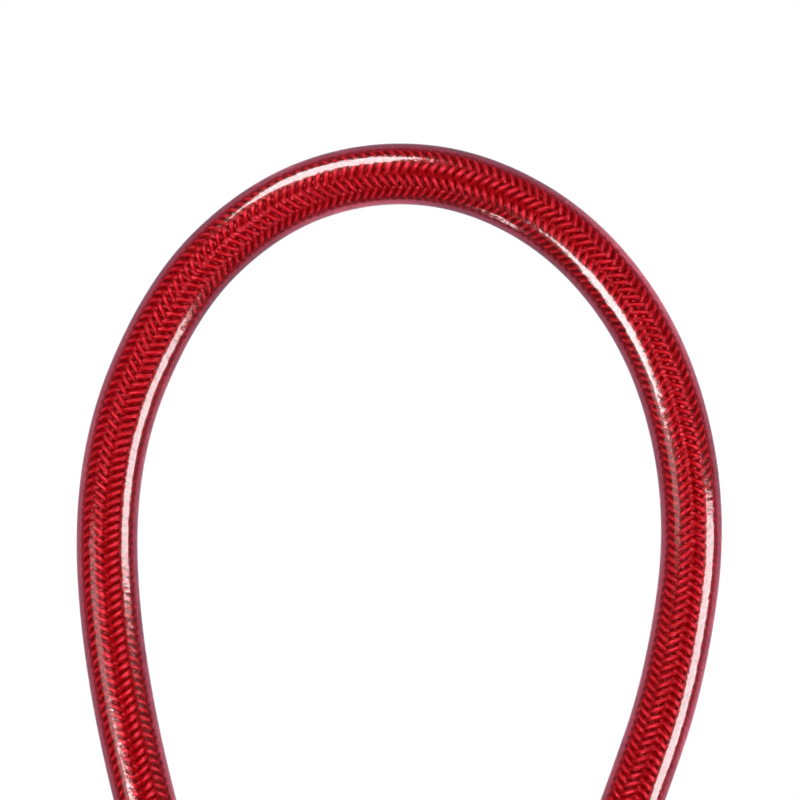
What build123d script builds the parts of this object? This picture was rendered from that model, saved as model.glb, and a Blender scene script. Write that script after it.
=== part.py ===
"""A combination luggage lock with a flexible cable shackle, in millimetres.

The lock stands on its base, +Z up, with its dials facing -Y. The origin is the
middle of the base. The cable is fixed at the left (-X) and plugs in at the right.
"""
from build123d import *
import math
import os

os.makedirs("parts", exist_ok=True)

# Driving dimensions of the case
case_width = 34.0
case_height = 37.0
case_depth = 14.0
case_corner = 4.0
wall = 1.4
cover_thickness = 1.6
front_y = -case_depth / 2
seam_y = case_depth / 2 - cover_thickness
inner_front_y = front_y + wall
inner_side_x = case_width / 2 - wall
case_side_x = case_width / 2

# Driving dimensions of the code mechanism, which turns about one axis along X
dial_axis_y = -1.6
dial_axis_z = 18.0
dial_radius = 6.2
dial_width = 4.2
dial_pitch = 5.4
dial_xs = [-6.9 + dial_pitch * index for index in range(3)]
digits = 10
spindle_radius = 1.2
running_gap = 0.06

# Driving dimensions of the cable and the two places where it meets the case
cable_x = 10.6
sheath_radius = 1.6
sheath_bore = 0.95
braid_radius = 0.89
braid_bore = 0.7
core_radius = 0.61
sheath_start_z = 35.5
sheath_end_z = 39.2
core_start_z = 33.4
core_end_z = 38.7
loop_points = [
    (-10.6, 46.3),
    (-14.1, 60.0),
    (-14.5, 70.8),
    (-11.0, 79.4),
    (-6.2, 84.1),
    (-0.7, 86.1),
    (5.1, 85.6),
    (10.7, 82.3),
    (14.9, 76.3),
    (16.7, 68.1),
    (15.5, 59.4),
    (13.2, 52.8),
    (10.6, 45.9),
]

# Driving dimensions of the plug on the cable's free end and its socket
pin_radius = 1.9
pin_tip_z = 25.4
pin_top_z = 37.8
groove_radius = 1.1
groove_z = 27.5
groove_height = 1.2

# Driving dimensions of the key cylinder, the reset pin and their surroundings
key_x = 12.0
rotor_radius = 2.2
housing_radius = 3.0
housing_low_z = 2.6
housing_top_z = 10.4
cam_z = 11.0
cam_thickness = 0.8
reset_x = -4.0
reset_radius = 0.9
screw_places = [(-13.2, 3.8), (5.6, 4.4), (0.0, 32.6), (-13.4, 24.6), (14.2, 24.2)]
boss_radii = [1.8, 1.8, 1.8, 1.8, 1.5]
pilot_radius = 0.62
pilot_depth = 6.0
press_gap = 0.03
seat_gap = 0.05

dial_axis = Plane(origin=(0, dial_axis_y, dial_axis_z), x_dir=(0, 1, 0), z_dir=(1, 0, 0))


# Front casing: a die-cast tub with the front, sides, top and base in one piece.
edge_radius = 1.5
window_gap = 0.2
window_height = 10.6
bezel_width = 18.0
bezel_height = 14.0
bezel_recess = 0.5
bezel_x = -1.5
bezel_corner = 1.5
web_thickness = 0.7
web_xs = [-10.05, 6.9]
web_height = 8.0
web_back_y = 2.0
slot_radius = spindle_radius + running_gap
button_radius = 2.6
button_bore = button_radius + running_gap
bush_neck_radius = 2.55
bush_hole = bush_neck_radius + seat_gap
grip_zs = [4.4, 6.2, 8.0]
grip_width = 18.0
grip_height = 0.7
grip_depth = 0.4
rib_slack = 0.03
leaf_x = 8.35
leaf_thickness = 0.3
leaf_slot_low_z = 7.0
leaf_slot_width = 3.0
leaf_slot_height = 3.2
plug_shelf_top_z = 21.8
reset_shelf_top_z = 8.2
peg_radius = 0.9
peg_height = 1.0
cradle_low_z = 3.0
cradle_height = 2.0
# Each shelf's low and high side along X, Y and Z: under the plug, over the reset spring,
# behind the fixed ferrule, beside the key cylinder and at the latch leaf's foot
shelf_boxes = [
    ((8.9, 12.2), (inner_front_y, 2.2), (21.2, plug_shelf_top_z)),
    ((-6.5, -1.5), (inner_front_y, 1.2), (7.6, reset_shelf_top_z)),
    ((-13.0, -8.2), (inner_front_y, 2.4), (30.4, 31.4)),
    ((9.4, inner_side_x), (inner_front_y, -1.8), (cradle_low_z, cradle_low_z + cradle_height)),
    ((7.4, 8.9), (inner_front_y, 2.4), (6.5, leaf_slot_low_z + leaf_slot_height)),
]

with BuildPart() as front_casing:
    with BuildSketch(Plane.XZ.offset(-seam_y)):
        with Locations((0, case_height / 2)):
            RectangleRounded(case_width, case_height, case_corner)
    extrude(amount=seam_y - front_y)
    fillet(front_casing.faces().sort_by(Axis.Y)[0].edges(), radius=edge_radius)
    # The hollow, open at the back
    with BuildSketch(Plane.XZ.offset(-seam_y)):
        with Locations((0, case_height / 2)):
            RectangleRounded(case_width - 2 * wall, case_height - 2 * wall, case_corner - wall)
    extrude(amount=seam_y - inner_front_y, mode=Mode.SUBTRACT)
    # Screw bosses, from the front wall to the seam
    for place, radius in zip(screw_places, boss_radii):
        with BuildSketch(Plane.XZ.offset(-seam_y)):
            with Locations(place):
                Circle(radius)
        extrude(amount=seam_y - inner_front_y)
    # Bearing webs at both ends of the dials
    with BuildSketch(Plane.XY.offset(dial_axis_z - web_height / 2)):
        with Locations(*[(x, (inner_front_y + web_back_y) / 2) for x in web_xs]):
            Rectangle(web_thickness, web_back_y - inner_front_y)
    extrude(amount=web_height)
    # Shelves that carry the pieces inside
    for (x_low, x_high), (y_low, y_high), (z_low, z_high) in shelf_boxes:
        with BuildSketch(Plane.XY.offset(z_low)):
            with Locations(((x_low + x_high) / 2, (y_low + y_high) / 2)):
                Rectangle(x_high - x_low, y_high - y_low)
        extrude(amount=z_high - z_low)
    # A pad on the base carries the key cylinder
    with BuildSketch(Plane.XY.offset(wall / 2)):
        with Locations((key_x, 0)):
            Circle(housing_radius)
    extrude(amount=housing_low_z - seat_gap - wall / 2)
    # A peg on the plug's shelf centres the ejector spring
    with BuildSketch(Plane.XY.offset(plug_shelf_top_z)):
        with Locations((cable_x, 0)):
            Circle(peg_radius)
    extrude(amount=peg_height)
    # Open-backed slots in the webs, where the spindle drops in
    with BuildSketch(Plane.YZ.offset(web_xs[0] - web_thickness)):
        with Locations((dial_axis_y, dial_axis_z)):
            Circle(slot_radius)
        with Locations(((dial_axis_y + web_back_y) / 2, dial_axis_z)):
            Rectangle(web_back_y - dial_axis_y, 2 * slot_radius)
    extrude(amount=web_xs[1] - web_xs[0] + 2 * web_thickness, mode=Mode.SUBTRACT)
    # The recess for the bezel and a window for each dial
    with BuildSketch(Plane.XZ.offset(-front_y)):
        with Locations((bezel_x, dial_axis_z)):
            RectangleRounded(bezel_width, bezel_height, bezel_corner)
    extrude(amount=-bezel_recess, mode=Mode.SUBTRACT)
    with BuildSketch(Plane.XZ.offset(-front_y)):
        with Locations(*[(x, dial_axis_z) for x in dial_xs]):
            Rectangle(dial_width + 2 * window_gap, window_height)
    extrude(amount=-wall, mode=Mode.SUBTRACT)
    # Holes: two bushes in the top, the button in the side, key and reset in the base
    with BuildSketch(Plane.XY.offset(case_height)):
        with Locations((-cable_x, 0), (cable_x, 0)):
            Circle(bush_hole)
    extrude(amount=-wall, mode=Mode.SUBTRACT)
    with BuildSketch(Plane.YZ.offset(case_side_x)):
        with Locations((dial_axis_y, dial_axis_z)):
            Circle(button_bore)
    extrude(amount=-wall, mode=Mode.SUBTRACT)
    with BuildSketch(Plane.XY):
        with Locations((key_x, 0)):
            Circle(rotor_radius + running_gap)
    extrude(amount=housing_low_z, mode=Mode.SUBTRACT)
    with BuildSketch(Plane.XY.offset(cradle_low_z)):
        with Locations((key_x, 0)):
            Circle(housing_radius + seat_gap)
    extrude(amount=cradle_height, mode=Mode.SUBTRACT)
    with BuildSketch(Plane.XY):
        with Locations((reset_x, dial_axis_y)):
            Circle(reset_radius + running_gap)
    extrude(amount=reset_shelf_top_z, mode=Mode.SUBTRACT)
    # The slot that grips the latch leaf's foot
    with BuildSketch(Plane.XY.offset(leaf_slot_low_z)):
        with Locations((leaf_x, 0)):
            Rectangle(leaf_thickness + 2 * rib_slack, leaf_slot_width + 2 * rib_slack)
    extrude(amount=leaf_slot_height, mode=Mode.SUBTRACT)
    # Pilot holes for the screws
    with BuildSketch(Plane.XZ.offset(-seam_y)):
        with Locations(*screw_places):
            Circle(pilot_radius)
    extrude(amount=pilot_depth, mode=Mode.SUBTRACT)
    # Grip grooves across the lower front
    with BuildSketch(Plane.XZ.offset(-front_y)):
        with Locations(*[(bezel_x, z) for z in grip_zs]):
            SlotOverall(grip_width, grip_height)
    extrude(amount=-grip_depth, mode=Mode.SUBTRACT)
front_casing.part.label = "front_casing"
export_step(front_casing.part, "parts/front_casing.step")


# Dial bezel: a thin plate let into the front, with a window for each dial.
bezel_thickness = 0.6
bezel_slack = 0.05
bezel_edge = 0.12

with BuildPart() as dial_bezel:
    with BuildSketch(Plane.XZ.offset(-front_y - bezel_recess)):
        with Locations((bezel_x, dial_axis_z)):
            RectangleRounded(
                bezel_width - 2 * bezel_slack, bezel_height - 2 * bezel_slack, bezel_corner
            )
        with Locations(*[(x, dial_axis_z) for x in dial_xs]):
            Rectangle(dial_width + 2 * window_gap, window_height, mode=Mode.SUBTRACT)
    extrude(amount=bezel_thickness)
    chamfer(dial_bezel.faces().sort_by(Axis.Y)[0].edges(), length=bezel_edge)
dial_bezel.part.label = "dial_bezel"
export_step(dial_bezel.part, "parts/dial_bezel.step")


# Rear cover: a flat cast lid that closes the tub and keeps the spindle in its slots.
cover_edge = 0.8
tongue_height = 2.4
tongue_front_y = dial_axis_y + spindle_radius + 0.12
sink_depth = 0.95
screw_slack = 0.1
head_radius = 1.45
thread_radius = 0.6
head_sink = 0.1

with BuildPart() as rear_cover:
    with BuildSketch(Plane.XZ.offset(-case_depth / 2)):
        with Locations((0, case_height / 2)):
            RectangleRounded(case_width, case_height, case_corner)
    extrude(amount=cover_thickness)
    fillet(rear_cover.faces().sort_by(Axis.Y)[-1].edges(), radius=cover_edge)
    # Tongues that close the two web slots behind the spindle
    with BuildSketch(Plane.XZ.offset(-seam_y)):
        with Locations(*[(x, dial_axis_z) for x in web_xs]):
            Rectangle(web_thickness, tongue_height)
    extrude(amount=seam_y - tongue_front_y)
    # Countersunk holes for the screws
    with Locations(Plane.XZ.offset(-case_depth / 2)):
        with Locations(*[(x, z, 0) for x, z in screw_places]):
            Cone(
                head_radius + screw_slack,
                thread_radius + screw_slack,
                sink_depth,
                align=(Align.CENTER, Align.CENTER, Align.MIN),
                mode=Mode.SUBTRACT,
            )
            Cylinder(
                thread_radius + screw_slack,
                cover_thickness,
                align=(Align.CENTER, Align.CENTER, Align.MIN),
                mode=Mode.SUBTRACT,
            )
rear_cover.part.label = "rear_cover"
export_step(rear_cover.part, "parts/rear_cover.step")


# Casing screws: five countersunk screws through the rear cover into the bosses.
screw_length = 6.0
head_height = 0.85
drive_radius = 0.45
drive_depth = 0.6
screw_head_y = case_depth / 2 - head_sink

with BuildPart() as casing_screws:
    with Locations(Plane.XZ.offset(-screw_head_y)):
        with Locations(*[(x, z, 0) for x, z in screw_places]):
            Cone(
                head_radius,
                thread_radius,
                head_height,
                align=(Align.CENTER, Align.CENTER, Align.MIN),
            )
            Cylinder(thread_radius, screw_length, align=(Align.CENTER, Align.CENTER, Align.MIN))
    with BuildSketch(Plane.XZ.offset(-screw_head_y)):
        with Locations(*screw_places):
            RegularPolygon(drive_radius, 6)
    extrude(amount=drive_depth, mode=Mode.SUBTRACT)
casing_screws.part.label = "casing_screws"
export_step(casing_screws.part, "parts/casing_screws.step")


# Dials: three numbered rings with a grip notch between each pair of digits,
# and ten drive slots in the bore.
dial_bore = 3.35
dial_edge = 0.3
notch_radius = 0.5
notch_centre = 6.35
slot_depth = 0.5
slot_width = 0.8

for number, dial_x in enumerate(dial_xs, start=1):
    with BuildPart() as dial:
        with BuildSketch(dial_axis.offset(dial_x - dial_width / 2)):
            Circle(dial_radius)
            Circle(dial_bore, mode=Mode.SUBTRACT)
        extrude(amount=dial_width)
        chamfer(
            dial.edges().filter_by(GeomType.CIRCLE).sort_by(SortBy.RADIUS)[-2:], length=dial_edge
        )
        with BuildSketch(dial_axis.offset(dial_x - dial_width / 2)):
            with PolarLocations(notch_centre, digits, start_angle=180 / digits):
                Circle(notch_radius)
            with PolarLocations(dial_bore, digits, start_angle=90):
                Rectangle(2 * slot_depth, slot_width)
        extrude(amount=dial_width, mode=Mode.SUBTRACT)
    dial.part.label = "dial_" + str(number)
    export_step(dial.part, "parts/dial_" + str(number) + ".step")


# Code sleeves: one in each dial. Two teeth drive it from the dial, a notched flange
# takes the reset comb, and a thin web inside has one gate for the spindle's fin.
sleeve_radius = 3.3
sleeve_bore = 2.4
sleeve_left = -2.75
sleeve_right = 2.55
flange_radius = 3.9
flange_thickness = 0.55
flange_notch_floor = 3.4
gate_web = 0.7
gate_width = 1.1
tooth_radius = 3.75
tooth_width = 0.7
tooth_length = 3.8
tooth_height = 1.0

for number, dial_x in enumerate(dial_xs, start=1):
    with BuildPart() as sleeve:
        with BuildSketch(dial_axis.offset(dial_x + sleeve_left)):
            Circle(sleeve_radius)
        extrude(amount=sleeve_right - sleeve_left)
        with BuildSketch(dial_axis.offset(dial_x + sleeve_left)):
            Circle(flange_radius)
            with PolarLocations(flange_radius, digits, start_angle=90):
                Rectangle(2 * (flange_radius - flange_notch_floor), slot_width, mode=Mode.SUBTRACT)
        extrude(amount=flange_thickness)
        with BuildSketch(dial_axis.offset(dial_x - tooth_length / 2)):
            with PolarLocations(tooth_radius - tooth_height / 2, 2, start_angle=90):
                Rectangle(tooth_height, tooth_width)
        extrude(amount=tooth_length)
        # Bores from both ends, up to the gate web
        with BuildSketch(dial_axis.offset(dial_x + sleeve_left)):
            Circle(sleeve_bore)
        extrude(amount=-sleeve_left - gate_web / 2, mode=Mode.SUBTRACT)
        with BuildSketch(dial_axis.offset(dial_x + gate_web / 2)):
            Circle(sleeve_bore)
        extrude(amount=sleeve_right - gate_web / 2, mode=Mode.SUBTRACT)
        with BuildSketch(dial_axis.offset(dial_x - gate_web / 2)):
            Circle(slot_radius)
            with Locations((0, sleeve_bore / 2)):
                Rectangle(gate_width, sleeve_bore)
        extrude(amount=gate_web, mode=Mode.SUBTRACT)
    sleeve.part.label = "sleeve_" + str(number)
    export_step(sleeve.part, "parts/sleeve_" + str(number) + ".step")


# Spindle: a steel rod with a fin for each sleeve and a collar that bends the latch leaf.
spindle_left = -11.2
spindle_right = 17.0
fin_start = 0.55
fin_thickness = 0.7
fin_width = 0.9
fin_top = 2.2
collar_radius = 2.2
collar_left = 9.9
collar_thickness = 0.8

with BuildPart() as spindle:
    with BuildSketch(dial_axis.offset(spindle_left)):
        Circle(spindle_radius)
    extrude(amount=spindle_right - spindle_left)
    for dial_x in dial_xs:
        with BuildSketch(dial_axis.offset(dial_x + fin_start)):
            with Locations((0, fin_top / 2)):
                Rectangle(fin_width, fin_top)
        extrude(amount=fin_thickness)
    with BuildSketch(dial_axis.offset(collar_left)):
        Circle(collar_radius)
    extrude(amount=collar_thickness)
spindle.part.label = "spindle"
export_step(spindle.part, "parts/spindle.step")


# Spring cup: pressed on the spindle's left end, it takes the return spring.
cup_right = -10.45
cup_floor = 0.75
cup_rim = 1.5
cup_radius = 2.3
cup_wall = 0.35
cup_press_gap = 0.02

with BuildPart() as spring_cup:
    with BuildSketch(dial_axis.offset(cup_right - cup_rim)):
        Circle(cup_radius)
        Circle(cup_radius - cup_wall, mode=Mode.SUBTRACT)
    extrude(amount=cup_rim)
    with BuildSketch(dial_axis.offset(cup_right - cup_floor)):
        Circle(cup_radius)
        Circle(spindle_radius + cup_press_gap, mode=Mode.SUBTRACT)
    extrude(amount=cup_floor)
spring_cup.part.label = "spring_cup"
export_step(spring_cup.part, "parts/spring_cup.step")


# Release button: a domed cap on the spindle's right end, kept in by its flange.
button_flange = 2.9
flange_left = 14.2
flange_right = 15.4
button_end = 19.6
button_edge = 0.5
dish_radius = 7.0
dish_depth = 0.3

with BuildPart() as release_button:
    with BuildSketch(dial_axis.offset(flange_left)):
        Circle(button_flange)
    extrude(amount=flange_right - flange_left)
    with BuildSketch(dial_axis.offset(flange_left)):
        Circle(button_radius)
    extrude(amount=button_end - flange_left)
    fillet(release_button.faces().sort_by(Axis.X)[-1].edges(), radius=button_edge)
    with Locations((button_end + dish_radius - dish_depth, dial_axis_y, dial_axis_z)):
        Sphere(dish_radius, mode=Mode.SUBTRACT)
    with BuildSketch(dial_axis.offset(flange_left)):
        Circle(spindle_radius + press_gap)
    extrude(amount=spindle_right - flange_left + seat_gap, mode=Mode.SUBTRACT)
release_button.part.label = "release_button"
export_step(release_button.part, "parts/release_button.step")


# Coil springs: one returns the spindle, one ejects the plug, one returns the reset pin.
def coil_spring(foot, axis, height, coil_radius, turns, wire_radius):
    """Wind one spring of round wire from foot along axis."""
    with BuildPart() as spring:
        with BuildLine():
            coil = Helix(height / turns, height, coil_radius, center=foot, direction=axis)
        with BuildSketch(Plane(origin=coil @ 0, z_dir=coil % 0)):
            Circle(wire_radius)
        sweep(path=coil, is_frenet=True)
    return spring.part


wire = 0.16
spindle_spring = coil_spring(
    foot=(-inner_side_x + 0.2, dial_axis_y, dial_axis_z),
    axis=(1, 0, 0),
    height=3.95,
    coil_radius=1.5,
    turns=4.5,
    wire_radius=wire,
)
spindle_spring.label = "spindle_spring"
export_step(spindle_spring, "parts/spindle_spring.step")

ejector_spring = coil_spring(
    foot=(cable_x, 0, plug_shelf_top_z + 0.2),
    axis=(0, 0, 1),
    height=3.15,
    coil_radius=1.4,
    turns=4,
    wire_radius=wire,
)
ejector_spring.label = "ejector_spring"
export_step(ejector_spring, "parts/ejector_spring.step")

reset_spring = coil_spring(
    foot=(reset_x, dial_axis_y, 2.5),
    axis=(0, 0, 1),
    height=4.85,
    coil_radius=1.25,
    turns=5,
    wire_radius=wire,
)
reset_spring.label = "reset_spring"
export_step(reset_spring, "parts/reset_spring.step")


# Click spring: a bent strip on the rear cover, with a finger and a bump behind each
# dial, so that the dials stop at each digit. Two rivets hold its foot.
strip = 0.25
finger_width = 3.0
foot_low_z = 24.6
foot_high_z = 29.0
foot_back_y = seam_y - press_gap
finger_root_z = foot_low_z + 0.2
finger_flat = 1.2
bump_angle = 180 / digits
bump_centre = 6.4
bump_radius = 0.35
bump_y = dial_axis_y + bump_centre * math.cos(math.radians(bump_angle))
bump_z = dial_axis_z + bump_centre * math.sin(math.radians(bump_angle))
finger_back_y = 4.98
foot_left = dial_xs[0] - finger_width / 2
foot_right = dial_xs[2] + finger_width / 2
rivet_xs = [-4.2, 1.2]
rivet_radius = 0.5
rivet_z = 27.0

with BuildPart() as click_spring:
    with BuildSketch(Plane.YZ.offset(foot_left)):
        with Locations((foot_back_y - strip / 2, (foot_low_z + foot_high_z) / 2)):
            Rectangle(strip, foot_high_z - foot_low_z)
    extrude(amount=foot_right - foot_left)
    for dial_x in dial_xs:
        with BuildSketch(Plane.YZ.offset(dial_x - finger_width / 2)):
            with BuildLine():
                Polyline(
                    (foot_back_y, finger_root_z),
                    (foot_back_y - strip, finger_root_z),
                    (finger_back_y - strip, bump_z + finger_flat),
                    (finger_back_y - strip, bump_z - finger_flat),
                    (finger_back_y, bump_z - finger_flat),
                    (finger_back_y, bump_z + finger_flat),
                    close=True,
                )
            make_face()
            with Locations((bump_y, bump_z)):
                Circle(bump_radius)
            with Locations(((bump_y + finger_back_y) / 2, bump_z)):
                Rectangle(finger_back_y - bump_y, 2 * bump_radius)
        extrude(amount=finger_width)
    with BuildSketch(Plane.XZ.offset(-seam_y)):
        with Locations(*[(x, rivet_z) for x in rivet_xs]):
            Circle(rivet_radius + press_gap)
    extrude(amount=2 * strip, mode=Mode.SUBTRACT)
click_spring.part.label = "click_spring"
export_step(click_spring.part, "parts/click_spring.step")

rivet_head = 0.9
rivet_head_height = 0.33
rivet_gap = 0.02

with BuildPart() as click_rivets:
    with BuildSketch(Plane.XZ.offset(-seam_y)):
        with Locations(*[(x, rivet_z) for x in rivet_xs]):
            Circle(rivet_radius)
    extrude(amount=seam_y - foot_back_y + strip + rivet_gap + rivet_head_height)
    with BuildSketch(Plane.XZ.offset(-foot_back_y + strip + rivet_gap)):
        with Locations(*[(x, rivet_z) for x in rivet_xs]):
            Circle(rivet_head)
    extrude(amount=rivet_head_height)
click_rivets.part.label = "click_rivets"
export_step(click_rivets.part, "parts/click_rivets.step")


# Latch leaf: a strip of spring steel held at its foot. Its tip sits in the plug's
# groove, and its ring lets the spindle through so that the collar can bend it aside.
leaf_foot_z = 7.1
leaf_top_z = 28.4
leaf_width = 3.0
ring_radius = 3.0
ring_hole = 1.7
tip_reach = 9.42
tip_height = 0.7
tip_width = 2.4

with BuildPart() as latch_leaf:
    with BuildSketch(Plane.YZ.offset(leaf_x - leaf_thickness / 2)):
        with Locations((0, (leaf_foot_z + leaf_top_z) / 2)):
            Rectangle(leaf_width, leaf_top_z - leaf_foot_z)
        with Locations((dial_axis_y, dial_axis_z)):
            Circle(ring_radius)
            Circle(ring_hole, mode=Mode.SUBTRACT)
    extrude(amount=leaf_thickness)
    with BuildSketch(Plane.YZ.offset(leaf_x)):
        with Locations((0, groove_z)):
            Rectangle(tip_width, tip_height)
    extrude(amount=tip_reach - leaf_x)
latch_leaf.part.label = "latch_leaf"
export_step(latch_leaf.part, "parts/latch_leaf.step")


# Plug pin: a turned steel pin with a cone, a latch groove and a stud for its ferrule.
cone_tip = 1.0
cone_height = 1.0
stud_radius = 1.4
stud_top_z = 38.6

with BuildPart() as plug_pin:
    with BuildSketch(Plane.XZ):
        with BuildLine():
            Polyline(
                (cable_x, pin_tip_z),
                (cable_x + cone_tip, pin_tip_z),
                (cable_x + pin_radius, pin_tip_z + cone_height),
                (cable_x + pin_radius, groove_z - groove_height / 2),
                (cable_x + groove_radius, groove_z - groove_height / 2),
                (cable_x + groove_radius, groove_z + groove_height / 2),
                (cable_x + pin_radius, groove_z + groove_height / 2),
                (cable_x + pin_radius, pin_top_z),
                (cable_x + stud_radius, pin_top_z),
                (cable_x + stud_radius, stud_top_z),
                (cable_x, stud_top_z),
                close=True,
            )
        make_face()
    revolve(axis=Axis((cable_x, 0, 0), (0, 0, 1)))
plug_pin.part.label = "plug_pin"
export_step(plug_pin.part, "parts/plug_pin.step")


# Plug ferrule: a collar that joins the pin to the cable. The cable's steel core is
# crimped in its middle, and two grooves mark the crimp.
ferrule_radius = 2.5
ferrule_low_z = pin_top_z + 0.1
ferrule_high_z = 41.3
ferrule_web_z = 38.65
ferrule_edge = 0.35
crimp_zs = [39.4, 40.2]
crimp_height = 0.3
crimp_depth = 0.2
core_hole = core_radius + press_gap
sheath_hole = sheath_radius + 0.04

with BuildPart() as plug_ferrule:
    with BuildSketch(Plane.XY.offset(ferrule_low_z)):
        with Locations((cable_x, 0)):
            Circle(ferrule_radius)
    extrude(amount=ferrule_high_z - ferrule_low_z)
    fillet(
        plug_ferrule.edges().filter_by(GeomType.CIRCLE).group_by(Axis.Z)[-1], radius=ferrule_edge
    )
    with BuildSketch(Plane.XY.offset(ferrule_low_z)):
        with Locations((cable_x, 0)):
            Circle(stud_radius + press_gap)
    extrude(amount=ferrule_web_z - ferrule_low_z, mode=Mode.SUBTRACT)
    with BuildSketch(Plane.XY.offset(ferrule_low_z)):
        with Locations((cable_x, 0)):
            Circle(core_hole)
    extrude(amount=ferrule_high_z - ferrule_low_z, mode=Mode.SUBTRACT)
    with BuildSketch(Plane.XY.offset(sheath_end_z)):
        with Locations((cable_x, 0)):
            Circle(sheath_hole)
    extrude(amount=ferrule_high_z - sheath_end_z, mode=Mode.SUBTRACT)
    for crimp_z in crimp_zs:
        with BuildSketch(Plane.XY.offset(crimp_z)):
            with Locations((cable_x, 0)):
                Circle(ferrule_radius)
                Circle(ferrule_radius - crimp_depth, mode=Mode.SUBTRACT)
        extrude(amount=crimp_height, mode=Mode.SUBTRACT)
plug_ferrule.part.label = "plug_ferrule"
export_step(plug_ferrule.part, "parts/plug_ferrule.step")


# Socket bush: a flanged brass guide in the top of the case, where the plug goes in.
bush_flange_radius = 3.1
bush_flange_top_z = case_height + 0.8
socket_low_z = 31.0
bush_edge = 0.3

with BuildPart() as socket_bush:
    with BuildSketch(Plane.XY.offset(socket_low_z)):
        with Locations((cable_x, 0)):
            Circle(bush_neck_radius)
    extrude(amount=case_height - socket_low_z)
    with BuildSketch(Plane.XY.offset(case_height)):
        with Locations((cable_x, 0)):
            Circle(bush_flange_radius)
    extrude(amount=bush_flange_top_z - case_height)
    fillet(
        socket_bush.edges().filter_by(GeomType.CIRCLE).group_by(Axis.Z)[-1], radius=bush_edge
    )
    with BuildSketch(Plane.XY.offset(socket_low_z)):
        with Locations((cable_x, 0)):
            Circle(pin_radius + running_gap)
    extrude(amount=bush_flange_top_z - socket_low_z, mode=Mode.SUBTRACT)
socket_bush.part.label = "socket_bush"
export_step(socket_bush.part, "parts/socket_bush.step")


# Cable bush: the tapered collar where the fixed end of the cable leaves the case.
taper_low_radius = 2.5
taper_high_radius = 2.1
taper_high_z = 41.3
ring_zs = [39.3, 40.1]
ring_height = 0.3
ring_floor_radius = 2.0
taper_edge = 0.2

with BuildPart() as cable_bush:
    with BuildSketch(Plane.XZ):
        with BuildLine():
            Polyline(
                (-cable_x, sheath_start_z),
                (-cable_x + bush_neck_radius, sheath_start_z),
                (-cable_x + bush_neck_radius, case_height),
                (-cable_x + bush_flange_radius, case_height),
                (-cable_x + bush_flange_radius, bush_flange_top_z),
                (-cable_x + taper_low_radius, bush_flange_top_z),
                (-cable_x + taper_high_radius, taper_high_z),
                (-cable_x, taper_high_z),
                close=True,
            )
        make_face()
    revolve(axis=Axis((-cable_x, 0, 0), (0, 0, 1)))
    fillet(
        cable_bush.edges().filter_by(GeomType.CIRCLE).group_by(Axis.Z)[-1], radius=taper_edge
    )
    for ring_z in ring_zs:
        with BuildSketch(Plane.XY.offset(ring_z)):
            with Locations((-cable_x, 0)):
                Circle(taper_low_radius)
                Circle(ring_floor_radius, mode=Mode.SUBTRACT)
        extrude(amount=ring_height, mode=Mode.SUBTRACT)
    with BuildSketch(Plane.XY.offset(sheath_start_z)):
        with Locations((-cable_x, 0)):
            Circle(sheath_hole)
    extrude(amount=taper_high_z - sheath_start_z, mode=Mode.SUBTRACT)
cable_bush.part.label = "cable_bush"
export_step(cable_bush.part, "parts/cable_bush.step")


# Fixed ferrule: crimped on the cable's steel core, it can't pull through the case's top.
fixed_low_z = 31.5
fixed_high_z = 35.4
fixed_radius = 2.4
fixed_edge = 0.3
fixed_hole_z = core_start_z - 0.02

with BuildPart() as fixed_ferrule:
    with BuildSketch(Plane.XY.offset(fixed_low_z)):
        with Locations((-cable_x, 0)):
            Circle(fixed_radius)
    extrude(amount=fixed_high_z - fixed_low_z)
    chamfer(fixed_ferrule.edges().filter_by(GeomType.CIRCLE), length=fixed_edge)
    with BuildSketch(Plane.XY.offset(fixed_hole_z)):
        with Locations((-cable_x, 0)):
            Circle(core_hole)
    extrude(amount=fixed_high_z - fixed_hole_z, mode=Mode.SUBTRACT)
fixed_ferrule.part.label = "fixed_ferrule"
export_step(fixed_ferrule.part, "parts/fixed_ferrule.step")


# Cable: a steel wire core, a braided cover and a clear sheath, all on one route of
# straight runs joined by arcs as large as the runs allow.
def cable_route(start_z, end_z):
    """List the route's points from the fixed end to the plug."""
    return [(-cable_x, start_z)] + loop_points + [(cable_x, end_z)]


arc_share = 0.45


def corner_radii(points):
    """Give each corner an arc that takes the same share of its shorter run."""
    radii = []
    for before, corner, after in zip(points, points[1:], points[2:]):
        first = Vector(corner[0] - before[0], corner[1] - before[1])
        second = Vector(after[0] - corner[0], after[1] - corner[1])
        half_turn = math.radians(first.get_angle(second)) / 2
        radii.append(arc_share * min(first.length, second.length) / math.tan(half_turn))
    return radii


def cable_layer(start_z, end_z, outer, inner):
    """Sweep a round or hollow section along the route."""
    points = cable_route(start_z, end_z)
    with BuildPart() as layer:
        with BuildLine(Plane.XZ) as route:
            FilletPolyline(points, radius=corner_radii(points))
        with BuildSketch(Plane.XY.offset(start_z)) as section:
            with Locations((-cable_x, 0)):
                Circle(outer)
                if inner > 0:
                    Circle(inner, mode=Mode.SUBTRACT)
        sweep(sections=section.sketch, path=route.wires()[0])
    length = route.wires()[0].length
    print("cable layer", round(length, 2), "mm long, volume", round(layer.part.volume, 2))
    print("section times length", round(math.pi * (outer**2 - inner**2) * length, 2))
    return layer.part


sheath_route = cable_route(sheath_start_z, sheath_end_z)
print("cable radii", [round(radius, 1) for radius in corner_radii(sheath_route)])

cable_sheath = cable_layer(sheath_start_z, sheath_end_z, sheath_radius, sheath_bore)
cable_sheath.label = "cable_sheath"
export_step(cable_sheath, "parts/cable_sheath.step")

cable_braid = cable_layer(sheath_start_z, sheath_end_z, braid_radius, braid_bore)
cable_braid.label = "cable_braid"
export_step(cable_braid, "parts/cable_braid.step")

cable_core = cable_layer(core_start_z, core_end_z, core_radius, 0)
cable_core.label = "cable_core"
export_step(cable_core, "parts/cable_core.step")


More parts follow.
